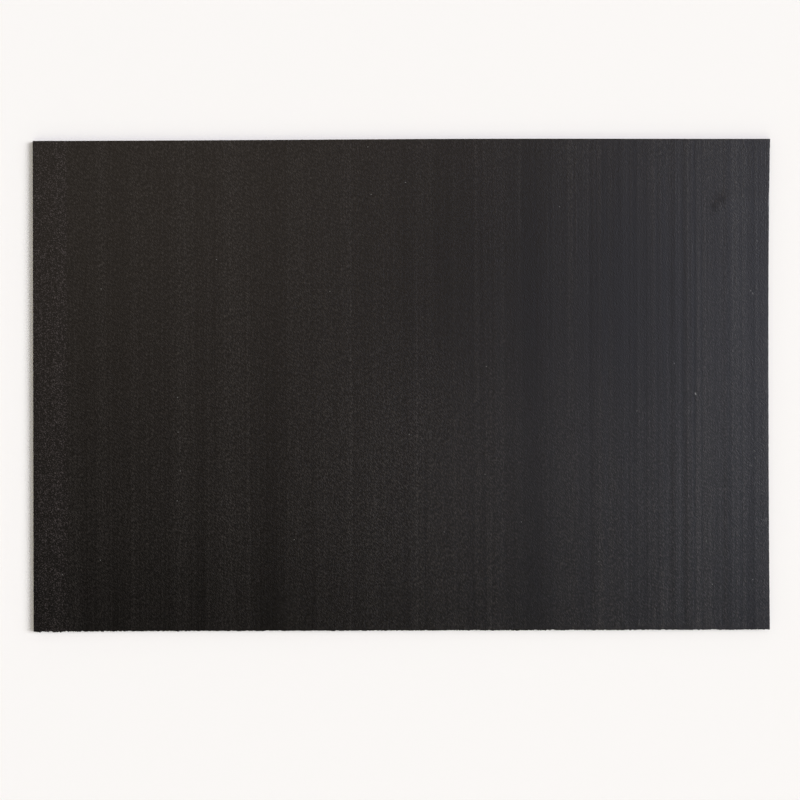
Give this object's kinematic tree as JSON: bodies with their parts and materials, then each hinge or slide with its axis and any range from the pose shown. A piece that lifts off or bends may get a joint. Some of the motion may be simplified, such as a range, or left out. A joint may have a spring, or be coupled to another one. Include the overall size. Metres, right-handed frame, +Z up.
{
  "type": "self-healing cutting mat",
  "caption": "Flat rectangular black cutting mat for leatherwork: bonded vinyl plies with a finely grained matte face, a stiff core and hand-trimmed edges.",
  "frame": {"origin": "centre of the underside, on the surface that the mat lies on", "axes": "+X along the long side, +Y along the short side, +Z up out of the cutting face"},
  "size_m": [0.5, 0.333, 0.003],
  "materials": {
    "cutting_surface": "matte",
    "healing_vinyl": "matte",
    "core_vinyl": "satin",
    "grip_surface": "matte"
  },
  "bodies": {
    "root": {"grip_layer": "grip_surface", "lower_healing_layer": "healing_vinyl", "core_sheet": "core_vinyl", "upper_healing_layer": "healing_vinyl", "surface_layer": "cutting_surface"}
  },
  "joints": []
}
